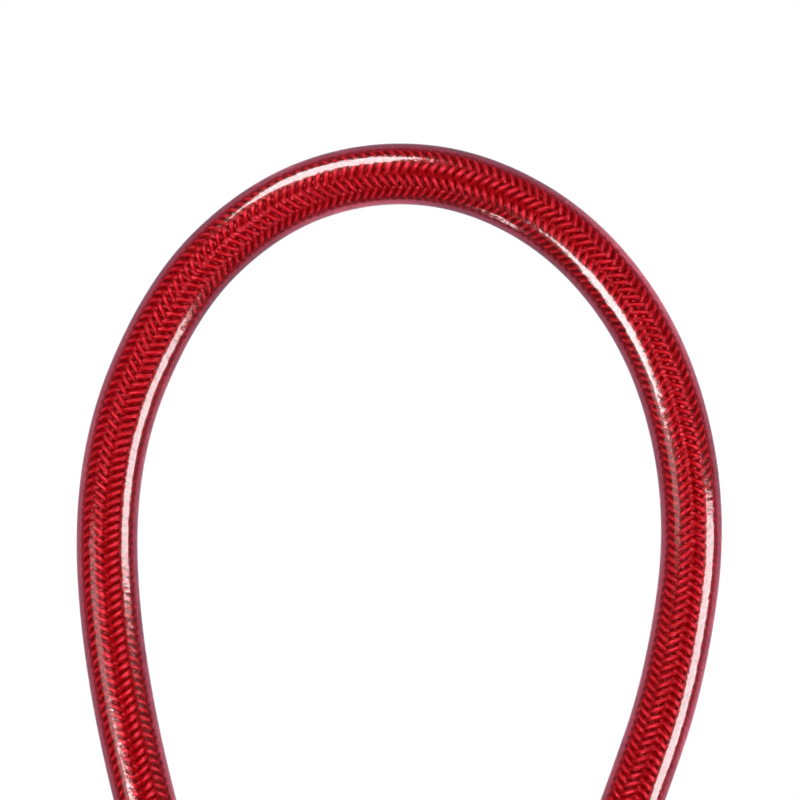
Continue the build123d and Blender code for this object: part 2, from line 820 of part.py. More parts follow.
# Key cylinder: the housing stands on the base over a hole, and the rotor turns in it.
cylinder_gap = 0.05

with BuildPart() as cylinder_housing:
    with BuildSketch(Plane.XY.offset(housing_low_z)):
        with Locations((key_x, 0)):
            Circle(housing_radius)
            Circle(rotor_radius + cylinder_gap, mode=Mode.SUBTRACT)
    extrude(amount=housing_top_z - housing_low_z)
cylinder_housing.part.label = "cylinder_housing"
export_step(cylinder_housing.part, "parts/cylinder_housing.step")

rotor_face_z = 0.3
clip_z = 10.5
clip_thickness = 0.3
clip_groove_radius = 1.7
tail_side = 2.0
tail_top_z = 12.1
keyway_width = 0.9
keyway_length = 3.2
keyway_top_z = 9.0
wafer_zs = [2.4, 3.9, 5.4, 6.9]
wafer_slot = 0.6
wafer_slot_width = 2.3
rotor_top_z = cam_z - 0.05
clip_slack = 0.05

with BuildPart() as key_rotor:
    with BuildSketch(Plane.XY.offset(rotor_face_z)):
        with Locations((key_x, 0)):
            Circle(rotor_radius)
    extrude(amount=rotor_top_z - rotor_face_z)
    with BuildSketch(Plane.XY.offset(rotor_top_z)):
        with Locations((key_x, 0)):
            Rectangle(tail_side, tail_side)
    extrude(amount=tail_top_z - rotor_top_z)
    with BuildSketch(Plane.XY.offset(clip_z - clip_slack)):
        with Locations((key_x, 0)):
            Circle(rotor_radius)
            Circle(clip_groove_radius, mode=Mode.SUBTRACT)
    extrude(amount=clip_thickness + 2 * clip_slack, mode=Mode.SUBTRACT)
    with BuildSketch(Plane.XY.offset(rotor_face_z)):
        with Locations((key_x, 0)):
            Rectangle(keyway_width, keyway_length)
    extrude(amount=keyway_top_z - rotor_face_z, mode=Mode.SUBTRACT)
    for wafer_z in wafer_zs:
        with BuildSketch(Plane.XY.offset(wafer_z)):
            with Locations((key_x, 0)):
                Rectangle(wafer_slot_width, 2 * rotor_radius)
        extrude(amount=wafer_slot, mode=Mode.SUBTRACT)
key_rotor.part.label = "key_rotor"
export_step(key_rotor.part, "parts/key_rotor.step")

wafer_width = 2.2
wafer_length = 3.7
wafer_thickness = 0.5
wafer_window_width = 1.2
wafer_window_length = 2.7

with BuildPart() as wafers:
    for wafer_z in wafer_zs:
        with BuildSketch(Plane.XY.offset(wafer_z + (wafer_slot - wafer_thickness) / 2)):
            with Locations((key_x, 0)):
                Rectangle(wafer_width, wafer_length)
                Rectangle(wafer_window_width, wafer_window_length, mode=Mode.SUBTRACT)
        extrude(amount=wafer_thickness)
wafers.part.label = "wafers"
export_step(wafers.part, "parts/wafers.step")

clip_radius = 2.8
clip_mouth = 2.6
clip_mouth_x = key_x + 2.0

with BuildPart() as retaining_clip:
    with BuildSketch(Plane.XY.offset(clip_z)):
        with Locations((key_x, 0)):
            Circle(clip_radius)
            Circle(clip_groove_radius + press_gap, mode=Mode.SUBTRACT)
        with Locations((clip_mouth_x, 0)):
            Rectangle(clip_mouth, clip_mouth, mode=Mode.SUBTRACT)
    extrude(amount=clip_thickness)
retaining_clip.part.label = "retaining_clip"
export_step(retaining_clip.part, "parts/retaining_clip.step")

# Key cam: on the rotor's square tail. A quarter turn swings its lobe onto the latch leaf.
cam_reach = 3.65
cam_width = 1.6
cam_hub_radius = 1.9
cam_hole = tail_side + 0.06

with BuildPart() as key_cam:
    with BuildSketch(Plane.XY.offset(cam_z)):
        with Locations((key_x, 0)):
            Circle(cam_hub_radius)
        with Locations((key_x, cam_reach / 2 - cam_width / 4)):
            Rectangle(cam_width, cam_reach - cam_width / 2)
        with Locations((key_x, cam_reach - cam_width / 2)):
            Circle(cam_width / 2)
        with Locations((key_x, 0)):
            Rectangle(cam_hole, cam_hole, mode=Mode.SUBTRACT)
    extrude(amount=cam_thickness)
key_cam.part.label = "key_cam"
export_step(key_cam.part, "parts/key_cam.step")


# Reset pin: pushed up through the base with a pointed tool, it lifts the reset comb.
pin_low_z = 0.5
comb_low_z = 9.4
comb_height = 0.8
collar_low_z = 1.5
collar_high_z = 2.2
reset_collar_radius = 1.5

with BuildPart() as reset_pin:
    with BuildSketch(Plane.XY.offset(pin_low_z)):
        with Locations((reset_x, dial_axis_y)):
            Circle(reset_radius)
    extrude(amount=comb_low_z - pin_low_z)
    with BuildSketch(Plane.XY.offset(collar_low_z)):
        with Locations((reset_x, dial_axis_y)):
            Circle(reset_collar_radius)
    extrude(amount=collar_high_z - collar_low_z)
reset_pin.part.label = "reset_pin"
export_step(reset_pin.part, "parts/reset_pin.step")

# Reset comb: its three fingers rise into the sleeves' flanges and hold them still.
finger_top_z = 13.05
comb_depth = 2.0
finger_left = -2.72
finger_thickness = 0.45
finger_depth = 0.6
comb_left = dial_xs[0] + finger_left
comb_right = dial_xs[2] + finger_left + finger_thickness

with BuildPart() as reset_comb:
    with BuildSketch(Plane.XY.offset(comb_low_z)):
        with Locations(((comb_left + comb_right) / 2, dial_axis_y)):
            Rectangle(comb_right - comb_left, comb_depth)
    extrude(amount=comb_height)
    with BuildSketch(Plane.XY.offset(comb_low_z + comb_height)):
        with Locations(*[(x + finger_left + finger_thickness / 2, dial_axis_y) for x in dial_xs]):
            Rectangle(finger_thickness, finger_depth)
    extrude(amount=finger_top_z - comb_low_z - comb_height)
reset_comb.part.label = "reset_comb"
export_step(reset_comb.part, "parts/reset_comb.step")
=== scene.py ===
import math

import bpy
import numpy as np
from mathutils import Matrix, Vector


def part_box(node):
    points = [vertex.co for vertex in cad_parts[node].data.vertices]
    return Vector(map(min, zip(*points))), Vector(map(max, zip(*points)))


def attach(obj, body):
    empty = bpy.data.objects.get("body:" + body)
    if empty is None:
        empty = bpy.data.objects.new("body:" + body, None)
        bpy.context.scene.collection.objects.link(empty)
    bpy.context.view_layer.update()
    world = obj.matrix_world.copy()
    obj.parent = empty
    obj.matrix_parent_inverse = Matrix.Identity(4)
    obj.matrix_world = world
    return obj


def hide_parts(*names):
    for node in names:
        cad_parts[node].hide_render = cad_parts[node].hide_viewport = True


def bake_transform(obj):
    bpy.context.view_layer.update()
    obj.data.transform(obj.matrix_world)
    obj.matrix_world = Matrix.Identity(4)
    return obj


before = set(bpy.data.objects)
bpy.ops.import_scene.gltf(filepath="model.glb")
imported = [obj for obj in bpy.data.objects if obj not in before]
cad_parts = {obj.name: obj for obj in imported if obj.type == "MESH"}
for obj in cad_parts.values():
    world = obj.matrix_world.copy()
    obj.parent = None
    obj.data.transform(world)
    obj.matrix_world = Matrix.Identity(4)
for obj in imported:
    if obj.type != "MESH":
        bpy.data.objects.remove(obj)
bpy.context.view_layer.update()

# Camera, table and studio light.
# The lock stands on a pale table in a white studio, and the camera looks level and
# square at the upper part of its cable loop. Long soft lamps give the gloss its streaks.
loop_middle = (0.00105, 0.0, 0.07404)
view_width = 0.04197
view_distance = 0.42
near_clip, far_clip = 0.01, 20.0
room_in_front = (0.006, 0.006, 0.007, 1.0)
room_behind = (0.42, 0.34, 0.44, 1.0)
table_radius = 0.5
table_colour = (0.86, 0.86, 0.87, 1.0)
table_roughness = 0.55
table_glow = 0.30
camera_data = bpy.data.cameras.new("camera")
camera_data.sensor_width = 36.0
camera_data.lens = camera_data.sensor_width * view_distance / view_width
camera_data.clip_start = near_clip
camera_data.clip_end = far_clip
camera = bpy.data.objects.new("camera", camera_data)
camera.location = (loop_middle[0], loop_middle[1] - view_distance, loop_middle[2])
camera.rotation_euler = (math.radians(90), 0.0, 0.0)
bpy.context.scene.collection.objects.link(camera)
bpy.context.scene.camera = camera
bpy.context.scene.view_settings.view_transform = "Standard"


def hang_lamp(name, place, size, power):
    """Hang a soft rectangular lamp at place, facing the middle of the loop."""
    lamp_data = bpy.data.lights.new(name, "AREA")
    lamp_data.shape = "RECTANGLE"
    lamp_data.size, lamp_data.size_y = size
    lamp_data.energy = power
    lamp = bpy.data.objects.new(name, lamp_data)
    away = [here - there for here, there in zip(place, loop_middle)]
    lamp.location = place
    lamp.rotation_euler = (
        math.atan2(math.hypot(away[0], away[1]), away[2]), 0.0, math.atan2(away[0], -away[1])
    )
    lamp.visible_camera = False
    bpy.context.scene.collection.objects.link(lamp)


hang_lamp("right_softbox", (0.495, -0.138, -0.055), (0.30, 0.30), 4.2)
hang_lamp("low_front_lamp", (-0.27, -0.315, -0.115), (0.19, 0.17), 2.1)
hang_lamp("top_softbox", (-0.115, -0.19, 0.461), (0.30, 0.17), 2.9)
hang_lamp("low_left_lamp", (-0.37, -0.25, -0.01), (0.20, 0.16), 0.25)
hang_lamp("under_lamp", (-0.19, 0.0, -0.33), (0.14, 0.06), 0.4)

# The ground of the picture is plain white. What the lock reflects is a room that is dark
# in front and turns mauve-grey behind.
world = bpy.data.worlds.new("studio")
bpy.context.scene.world = world
world.use_nodes = True
world_nodes = world.node_tree.nodes
world_links = world.node_tree.links
world_nodes.clear()
seen_white = world_nodes.new("ShaderNodeBackground")
seen_white.inputs["Color"].default_value = (1.0, 1.0, 1.0, 1.0)
seen_white.inputs["Strength"].default_value = 1.0
room_grey = world_nodes.new("ShaderNodeBackground")
room_way = world_nodes.new("ShaderNodeTexCoord")
room_split = world_nodes.new("ShaderNodeSeparateXYZ")
room_shade = world_nodes.new("ShaderNodeValToRGB")
room_shade.color_ramp.elements[0].position = 0.50
room_shade.color_ramp.elements[0].color = room_in_front
room_shade.color_ramp.elements[1].position = 1.0
room_shade.color_ramp.elements[1].color = room_behind
room_half = world_nodes.new("ShaderNodeMapRange")
room_half.inputs["From Min"].default_value = -1.0
world_links.new(room_way.outputs["Generated"], room_split.inputs["Vector"])
world_links.new(room_split.outputs["Y"], room_half.inputs["Value"])
world_links.new(room_half.outputs["Result"], room_shade.inputs["Fac"])
world_links.new(room_shade.outputs["Color"], room_grey.inputs["Color"])
ray_kind = world_nodes.new("ShaderNodeLightPath")
pick_world = world_nodes.new("ShaderNodeMixShader")
world_out = world_nodes.new("ShaderNodeOutputWorld")
world_links.new(ray_kind.outputs["Is Camera Ray"], pick_world.inputs["Fac"])
world_links.new(room_grey.outputs["Background"], pick_world.inputs[1])
world_links.new(seen_white.outputs["Background"], pick_world.inputs[2])
world_links.new(pick_world.outputs["Shader"], world_out.inputs["Surface"])

bpy.ops.object.select_all(action="DESELECT")
bpy.ops.mesh.primitive_circle_add(vertices=96, radius=table_radius, fill_type="NGON")
floor = bpy.context.object
floor.name = "floor"
floor_paint = bpy.data.materials.new("floor_paint")
floor_paint.use_nodes = True
floor_shader = floor_paint.node_tree.nodes["Principled BSDF"]
floor_shader.inputs["Base Color"].default_value = table_colour
floor_shader.inputs["Roughness"].default_value = table_roughness
floor_shader.inputs["Emission Color"].default_value = (1.0, 1.0, 1.0, 1.0)
floor_shader.inputs["Emission Strength"].default_value = table_glow
floor.data.materials.append(floor_paint)
floor.visible_shadow = False
floor.visible_glossy = False
floor.visible_diffuse = False
floor.visible_transmission = False

# Cable sheath: a thick wall of clear red PVC, extruded over the braid in one length.
# It is cut square and set into the collar on the case and the plug's ferrule.
route_points = [
    (-0.0106, 0.0, 0.0355),
    (-0.0106, 0.0, 0.0463),
    (-0.0141, 0.0, 0.0600),
    (-0.0145, 0.0, 0.0708),
    (-0.0110, 0.0, 0.0794),
    (-0.0062, 0.0, 0.0841),
    (-0.0007, 0.0, 0.0861),
    (0.0051, 0.0, 0.0856),
    (0.0107, 0.0, 0.0823),
    (0.0149, 0.0, 0.0763),
    (0.0167, 0.0, 0.0681),
    (0.0155, 0.0, 0.0594),
    (0.0132, 0.0, 0.0528),
    (0.0106, 0.0, 0.0459),
    (0.0106, 0.0, 0.0392),
]
sheath_radius = 0.0016
sheath_bore = 0.00092
sheath_rings = 420
sheath_sides = 56
pvc_colour = (0.93, 0.18, 0.24, 1.0)
pvc_shadow = (0.97, 0.45, 0.52, 1.0)
pvc_index = 1.52
pvc_smooth, pvc_rough = 0.10, 0.17
ripple_scale = 2200.0
ripple_depth = 0.000018
bore_colour = (1.0, 0.97, 0.97, 1.0)
route_curve = bpy.data.curves.new("cable_route", "CURVE")
route_curve.dimensions = "3D"
route_spline = route_curve.splines.new("NURBS")
route_spline.points.add(len(route_points) - 1)
for spline_point, place in zip(route_spline.points, route_points):
    spline_point.co = (*place, 1.0)
route_spline.order_u = 3
route_spline.use_endpoint_u = True
route_spline.resolution_u = 40
route_object = bpy.data.objects.new("cable_route", route_curve)
bpy.context.scene.collection.objects.link(route_object)
bpy.context.view_layer.update()
route_mesh = bpy.data.meshes.new_from_object(route_object)
route_line = np.array([vertex.co for vertex in route_mesh.vertices])
bpy.data.objects.remove(route_object)
bpy.data.curves.remove(route_curve)
bpy.data.meshes.remove(route_mesh)


def spaced_line(line, count):
    """Space count points evenly on a line, with its direction and outward normal at each."""
    steps = np.linalg.norm(np.diff(line, axis=0), axis=1)
    reach = np.concatenate([[0.0], np.cumsum(steps)])
    distance = np.linspace(0.0, reach[-1], count)
    centre = np.stack([np.interp(distance, reach, line[:, axis]) for axis in range(3)], axis=1)
    along = np.gradient(centre, axis=0)
    along /= np.linalg.norm(along, axis=1)[:, None]
    outward = np.stack([-along[:, 2], np.zeros(count), along[:, 0]], axis=1)
    return centre, along, outward, distance


def mesh_piece(name, points, faces, material, across_and_along):
    """Make a smooth mesh object, with the given UV map."""
    mesh = bpy.data.meshes.new(name)
    mesh.from_pydata(points.tolist(), [], faces)
    places = mesh.uv_layers.new(name="along_piece")
    corner_points = np.zeros(len(mesh.loops), dtype=np.int32)
    mesh.loops.foreach_get("vertex_index", corner_points)
    places.data.foreach_set("uv", across_and_along[corner_points].astype(np.float32).ravel())
    mesh.polygons.foreach_set("use_smooth", [True] * len(mesh.polygons))
    mesh.materials.append(material)
    piece = bpy.data.objects.new(name, mesh)
    bpy.context.scene.collection.objects.link(piece)
    return piece


facing = np.array([0.0, -1.0, 0.0])
centre, along, outward, distance = spaced_line(route_line, sheath_rings)
turn = np.linspace(0.0, 2.0 * math.pi, sheath_sides, endpoint=False)
spoke = (
    np.cos(turn)[None, :, None] * outward[:, None, :]
    + np.sin(turn)[None, :, None] * facing[None, None, :]
)
outer_wall = (centre[:, None, :] + sheath_radius * spoke).reshape(-1, 3)
inner_wall = (centre[:, None, :] + sheath_bore * spoke).reshape(-1, 3)
sheath_faces = []
inner_first = sheath_rings * sheath_sides
for ring in range(sheath_rings - 1):
    for side in range(sheath_sides):
        after = (side + 1) % sheath_sides
        near, far = ring * sheath_sides, (ring + 1) * sheath_sides
        sheath_faces.append((near + side, near + after, far + after, far + side))
        sheath_faces.append(tuple(
            inner_first + corner for corner in (near + side, far + side, far + after, near + after)
        ))
for side in range(sheath_sides):
    after = (side + 1) % sheath_sides
    end = (sheath_rings - 1) * sheath_sides
    sheath_faces.append((side, inner_first + side, inner_first + after, after))
    sheath_faces.append((end + side, end + after, inner_first + end + after, inner_first + end + side))
sheath_places = np.stack(
    [np.tile(turn / (2.0 * math.pi), sheath_rings), np.repeat(distance, sheath_sides)], axis=1
)


def lit_through(material, tint):
    """Let the lamps shine through a clear material, tinted, so that it casts no shadow."""
    tree = material.node_tree
    clear = tree.nodes.new("ShaderNodeBsdfTransparent")
    clear.inputs["Color"].default_value = tint
    rays = tree.nodes.new("ShaderNodeLightPath")
    either = tree.nodes.new("ShaderNodeMixShader")
    tree.links.new(rays.outputs["Is Shadow Ray"], either.inputs["Fac"])
    tree.links.new(tree.nodes["Principled BSDF"].outputs["BSDF"], either.inputs[1])
    tree.links.new(clear.outputs["BSDF"], either.inputs[2])
    tree.links.new(either.outputs["Shader"], tree.nodes["Material Output"].inputs["Surface"])


clear_pvc = bpy.data.materials.new("clear_red_pvc")
clear_pvc.use_nodes = True
pvc_nodes = clear_pvc.node_tree.nodes
pvc_links = clear_pvc.node_tree.links
pvc_shader = pvc_nodes["Principled BSDF"]
pvc_shader.inputs["Base Color"].default_value = pvc_colour
pvc_shader.inputs["IOR"].default_value = pvc_index
pvc_shader.inputs["Transmission Weight"].default_value = 1.0
pvc_place = pvc_nodes.new("ShaderNodeTexCoord")
pvc_ripple = pvc_nodes.new("ShaderNodeTexNoise")
pvc_ripple.inputs["Scale"].default_value = ripple_scale
pvc_ripple.inputs["Detail"].default_value = 3.0
pvc_links.new(pvc_place.outputs["Object"], pvc_ripple.inputs["Vector"])
pvc_bump = pvc_nodes.new("ShaderNodeBump")
pvc_bump.inputs["Strength"].default_value = 1.0
pvc_bump.inputs["Distance"].default_value = ripple_depth
pvc_links.new(pvc_ripple.outputs["Fac"], pvc_bump.inputs["Height"])
pvc_links.new(pvc_bump.outputs["Normal"], pvc_shader.inputs["Normal"])
pvc_smear = pvc_nodes.new("ShaderNodeMapRange")
pvc_smear.inputs["To Min"].default_value = pvc_smooth
pvc_smear.inputs["To Max"].default_value = pvc_rough
pvc_links.new(pvc_ripple.outputs["Fac"], pvc_smear.inputs["Value"])
pvc_links.new(pvc_smear.outputs["Result"], pvc_shader.inputs["Roughness"])
lit_through(clear_pvc, pvc_shadow)

# The bore is bonded to the yarn, so light goes through that face without bending.
bonded_pvc = bpy.data.materials.new("bonded_pvc_bore")
bonded_pvc.use_nodes = True
bore_shader = bonded_pvc.node_tree.nodes["Principled BSDF"]
bore_shader.inputs["Base Color"].default_value = bore_colour
bore_shader.inputs["Roughness"].default_value = 0.0
bore_shader.inputs["IOR"].default_value = 1.0
bore_shader.inputs["Transmission Weight"].default_value = 1.0
lit_through(bonded_pvc, (1.0, 1.0, 1.0, 1.0))

sheath = mesh_piece(
    "clear_sheath", np.concatenate([outer_wall, inner_wall]), sheath_faces, clear_pvc,
    np.concatenate([sheath_places, sheath_places]),
)
sheath.data.materials.append(bonded_pvc)
for face in sheath.data.polygons:
    if min(face.vertices) >= inner_first:
        face.material_index = 1
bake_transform(sheath)
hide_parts("cable_sheath")

# Cable braid: a tube of red polyester yarn, eight flat strands each way round the core,
# woven over two and under two. Both hands are braided on the core in one pass.
strands_each_way = 8
strand_lead = 0.00368
strand_width = 0.00031
strand_thickness = 0.00015
braid_radius = 0.00080
braid_wave = 0.000040
braid_samples = 36
strand_sides = 8
weave_period = math.radians(90.0)
weave_middle = math.radians(25.5)
weave_flatness = 2.2
thread_scale, thread_waver = 1.6, 1.2
thread_depth, thread_strength = 0.00003, 0.35
# Painted shade: the yarn's colour is darkened in the grooves between its threads, towards each
# strand's sides and where the strand dips under.
thread_shade = 0.70
side_shade_range = {"From Min": 0.12, "From Max": 0.44, "To Min": 1.0, "To Max": 0.0}
dip_shade_range = {"From Min": 0.35, "From Max": 0.95, "To Min": 0.35, "To Max": 1.0}
yarn_roughness = 0.17
yarn_index = 1.7
yarn_red_from = 0.74
# Ramp colours: the deepest is painted shade, the red is the yarn's own and the palest is a painted
# glint on the crowns.
yarn_painted_shade = (0.10, 0.0002, 0.0008, 1.0)
yarn_red = (0.145, 0.0006, 0.0020, 1.0)
yarn_painted_glint = (0.42, 0.060, 0.092, 1.0)
yarn_tint = (1.0, 0.42, 0.48, 1.0)
braid_rings = int(float(distance[-1]) / strand_lead * braid_samples)
centre, along, outward, distance = spaced_line(route_line, braid_rings)
braid_angle = math.atan2(2.0 * math.pi * braid_radius, strand_lead)
ring_turn = np.linspace(0.0, 2.0 * math.pi, strand_sides, endpoint=False)
strand_profile_across = 0.5 * strand_width * np.cos(ring_turn)
strand_profile_up = 0.5 * strand_thickness * np.sin(ring_turn)


def rod_faces(first, rings, sides):
    """List the faces of a closed rod of rings, whose points start at first."""
    faces = []
    for step in range(rings - 1):
        near, far = first + step * sides, first + (step + 1) * sides
        for side in range(sides):
            after = (side + 1) % sides
            faces.append((near + side, far + side, far + after, near + after))
    last = first + (rings - 1) * sides
    faces.append(tuple(first + side for side in range(sides)))
    faces.append(tuple(last + side for side in reversed(range(sides))))
    return faces


def braid_half(name, hand, material):
    """Wind the strands of one hand, each passing over and under the other hand's."""
    points, faces, places = [], [], []
    for strand in range(strands_each_way):
        stagger = 0.5 if hand < 0 else 0.0
        start = 2.0 * math.pi * (strand + stagger) / strands_each_way
        angle = start + hand * 2.0 * math.pi * distance / strand_lead
        swing = np.cos(2.0 * math.pi * (angle - weave_middle) / weave_period)
        lift = hand * braid_wave * np.tanh(weave_flatness * swing) / math.tanh(weave_flatness)
        out_way = np.cos(angle)[:, None] * facing + np.sin(angle)[:, None] * outward
        side_way = -np.sin(angle)[:, None] * facing + np.cos(angle)[:, None] * outward
        run_way = math.cos(braid_angle) * along + hand * math.sin(braid_angle) * side_way
        across_way = np.cross(run_way, out_way)
        middle = centre + (braid_radius + lift)[:, None] * out_way
        ring = (
            middle[:, None, :]
            + strand_profile_across[None, :, None] * across_way[:, None, :]
            + strand_profile_up[None, :, None] * out_way[:, None, :]
        )
        points.append(ring.reshape(-1, 3))
        places.append(np.stack(
            [np.tile(np.cos(ring_turn) * 0.5 + strand, braid_rings),
             np.repeat(0.5 + 0.5 * hand * swing, strand_sides)], axis=1
        ))
        faces += rod_faces(strand * braid_rings * strand_sides, braid_rings, strand_sides)
    half = mesh_piece(name, np.concatenate(points), faces, material, np.concatenate(places))
    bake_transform(half)
    return half


# The yarn's UV map runs across each strand, and from 0 where it dips to 1 where it crowns.
# Its colour is painted shade in the valleys, at the strands' sides and between the threads, red on its
# way up and a painted pale glint where it crowns.
red_yarn = bpy.data.materials.new("red_polyester_yarn")
red_yarn.use_nodes = True
yarn_nodes = red_yarn.node_tree.nodes
yarn_links = red_yarn.node_tree.links
yarn_shader = yarn_nodes["Principled BSDF"]
yarn_place = yarn_nodes.new("ShaderNodeUVMap")
yarn_place.uv_map = "along_piece"
yarn_threads = yarn_nodes.new("ShaderNodeTexWave")
yarn_threads.wave_type = "BANDS"
yarn_threads.bands_direction = "X"
yarn_threads.inputs["Scale"].default_value = thread_scale
yarn_threads.inputs["Distortion"].default_value = thread_waver
yarn_links.new(yarn_place.outputs["UV"], yarn_threads.inputs["Vector"])
yarn_split = yarn_nodes.new("ShaderNodeSeparateXYZ")
yarn_links.new(yarn_place.outputs["UV"], yarn_split.inputs["Vector"])
yarn_side = yarn_nodes.new("ShaderNodeMath")
yarn_side.operation = "PINGPONG"
yarn_side.inputs[1].default_value = 0.5
yarn_links.new(yarn_split.outputs["X"], yarn_side.inputs[0])
yarn_side_shade = yarn_nodes.new("ShaderNodeMapRange")
for socket_name, value in side_shade_range.items():
    yarn_side_shade.inputs[socket_name].default_value = value
yarn_links.new(yarn_side.outputs["Value"], yarn_side_shade.inputs["Value"])
yarn_groove_shade = yarn_nodes.new("ShaderNodeMapRange")
yarn_groove_shade.inputs["To Min"].default_value = thread_shade
yarn_links.new(yarn_threads.outputs["Fac"], yarn_groove_shade.inputs["Value"])
yarn_dip_shade = yarn_nodes.new("ShaderNodeMapRange")
for socket_name, value in dip_shade_range.items():
    yarn_dip_shade.inputs[socket_name].default_value = value
yarn_links.new(yarn_split.outputs["Y"], yarn_dip_shade.inputs["Value"])
# These masks multiply into the painted light and shade that pick the yarn's colour from the ramp.
yarn_side_and_dip_shade = yarn_nodes.new("ShaderNodeMath")
yarn_side_and_dip_shade.operation = "MULTIPLY"
yarn_links.new(yarn_side_shade.outputs["Result"], yarn_side_and_dip_shade.inputs[0])
yarn_links.new(yarn_dip_shade.outputs["Result"], yarn_side_and_dip_shade.inputs[1])
yarn_light_and_shade = yarn_nodes.new("ShaderNodeMath")
yarn_light_and_shade.operation = "MULTIPLY"
yarn_links.new(yarn_side_and_dip_shade.outputs["Value"], yarn_light_and_shade.inputs[0])
yarn_links.new(yarn_groove_shade.outputs["Result"], yarn_light_and_shade.inputs[1])
yarn_shade = yarn_nodes.new("ShaderNodeValToRGB")
yarn_shade.color_ramp.elements[0].color = yarn_painted_shade
yarn_shade.color_ramp.elements[1].color = yarn_painted_glint
yarn_shade.color_ramp.elements.new(yarn_red_from).color = yarn_red
yarn_links.new(yarn_light_and_shade.outputs["Value"], yarn_shade.inputs["Fac"])
yarn_links.new(yarn_shade.outputs["Color"], yarn_shader.inputs["Base Color"])
yarn_bump = yarn_nodes.new("ShaderNodeBump")
yarn_bump.inputs["Strength"].default_value = thread_strength
yarn_bump.inputs["Distance"].default_value = thread_depth
yarn_links.new(yarn_threads.outputs["Fac"], yarn_bump.inputs["Height"])
yarn_links.new(yarn_bump.outputs["Normal"], yarn_shader.inputs["Normal"])
yarn_shader.inputs["Roughness"].default_value = yarn_roughness
yarn_shader.inputs["IOR"].default_value = yarn_index
yarn_shader.inputs["Specular IOR Level"].default_value = 1.0
yarn_shader.inputs["Specular Tint"].default_value = yarn_tint
braid_right = braid_half("braid_right_hand", 1, red_yarn)
braid_left = braid_half("braid_left_hand", -1, red_yarn)
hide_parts("cable_braid")

# Cable core: seven steel wires with red lacquer on them, laid up in one strand, six
# round one. It runs past the sheath's fixed end, into the ferrule inside the casing.
wire_radius = 0.000203
wire_lay = 0.0095
wire_sides = 10
core_low_z = 0.0334
core_rings = 400
lacquer_colour = (0.72, 0.003, 0.006, 1.0)
lacquer_metal = 0.2
lacquer_wear_scale = 1800.0
lacquer_smooth, lacquer_rough = 0.28, 0.50
core_line = np.concatenate([[(route_points[0][0], 0.0, core_low_z)], route_line])
centre, along, outward, distance = spaced_line(core_line, core_rings)
core_points, core_faces, core_places = [], [], []
wire_turn = np.linspace(0.0, 2.0 * math.pi, wire_sides, endpoint=False)
for wire in range(7):
    lay_radius = 0.0 if wire == 0 else 2.0 * wire_radius
    angle = 2.0 * math.pi * (wire / 6.0 + distance / wire_lay)
    out_way = np.cos(angle)[:, None] * outward + np.sin(angle)[:, None] * facing
    side_way = -np.sin(angle)[:, None] * outward + np.cos(angle)[:, None] * facing
    middle = centre + lay_radius * out_way
    ring = (
        middle[:, None, :]
        + wire_radius * np.cos(wire_turn)[None, :, None] * side_way[:, None, :]
        + wire_radius * np.sin(wire_turn)[None, :, None] * out_way[:, None, :]
    )
    core_points.append(ring.reshape(-1, 3))
    core_places.append(np.stack(
        [np.tile(wire_turn, core_rings), np.repeat(distance, wire_sides)], axis=1
    ))
    core_faces += rod_faces(wire * core_rings * wire_sides, core_rings, wire_sides)

lacquered_wire = bpy.data.materials.new("lacquered_steel_wire")
lacquered_wire.use_nodes = True
wire_nodes = lacquered_wire.node_tree.nodes
wire_links = lacquered_wire.node_tree.links
wire_shader = wire_nodes["Principled BSDF"]
wire_shader.inputs["Base Color"].default_value = lacquer_colour
wire_shader.inputs["Metallic"].default_value = lacquer_metal
wire_place = wire_nodes.new("ShaderNodeTexCoord")
wire_wear = wire_nodes.new("ShaderNodeTexNoise")
wire_wear.inputs["Scale"].default_value = lacquer_wear_scale
wire_links.new(wire_place.outputs["Object"], wire_wear.inputs["Vector"])
wire_rough = wire_nodes.new("ShaderNodeMapRange")
wire_rough.inputs["To Min"].default_value = lacquer_smooth
wire_rough.inputs["To Max"].default_value = lacquer_rough
wire_links.new(wire_wear.outputs["Fac"], wire_rough.inputs["Value"])
wire_links.new(wire_rough.outputs["Result"], wire_shader.inputs["Roughness"])
core = mesh_piece(
    "wire_core", np.concatenate(core_points), core_faces, lacquered_wire, np.concatenate(core_places)
)
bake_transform(core)
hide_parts("cable_core")
sheath_centre = spaced_line(route_line, sheath_rings)[0]

# Casing shells: a die-cast zinc tub and its flat rear cover, powder coated satin black.
# The coat is thin and a little rough, and it rubs through to bare metal on the edges.
case_half = (0.017, 0.007, 0.0185)
case_middle = (0.0, 0.0, 0.0185)
rub_shallow = 0.00020
rub_deep = 0.00062
rub_patch_scale = 900.0
scratch_slant = (0.4, 0.7, 0.3)
scratch_stretch = (90.0, 2600.0, 1500.0)


def effect_group(name, inputs, outputs):
    """Start a shader group with the given number and vector sockets."""
    group = bpy.data.node_groups.new(name, "ShaderNodeTree")
    for socket_name, kind, value in inputs:
        socket = group.interface.new_socket(socket_name, in_out="INPUT", socket_type=kind)
        if value is not None:
            socket.default_value = value
    for socket_name in outputs:
        group.interface.new_socket(socket_name, in_out="OUTPUT", socket_type="NodeSocketFloat")
    return group, group.nodes.new("NodeGroupInput"), group.nodes.new("NodeGroupOutput")


def remap(tree, source, low, high, to_low, to_high):
    """Stretch a value from one range to another, held at both ends."""
    stretch = tree.nodes.new("ShaderNodeMapRange")
    stretch.interpolation_type = "SMOOTHSTEP"
    for socket_name, value in zip(
        ("From Min", "From Max", "To Min", "To Max"), (low, high, to_low, to_high)
    ):
        stretch.inputs[socket_name].default_value = value
    tree.links.new(source, stretch.inputs["Value"])
    return stretch.outputs["Result"]


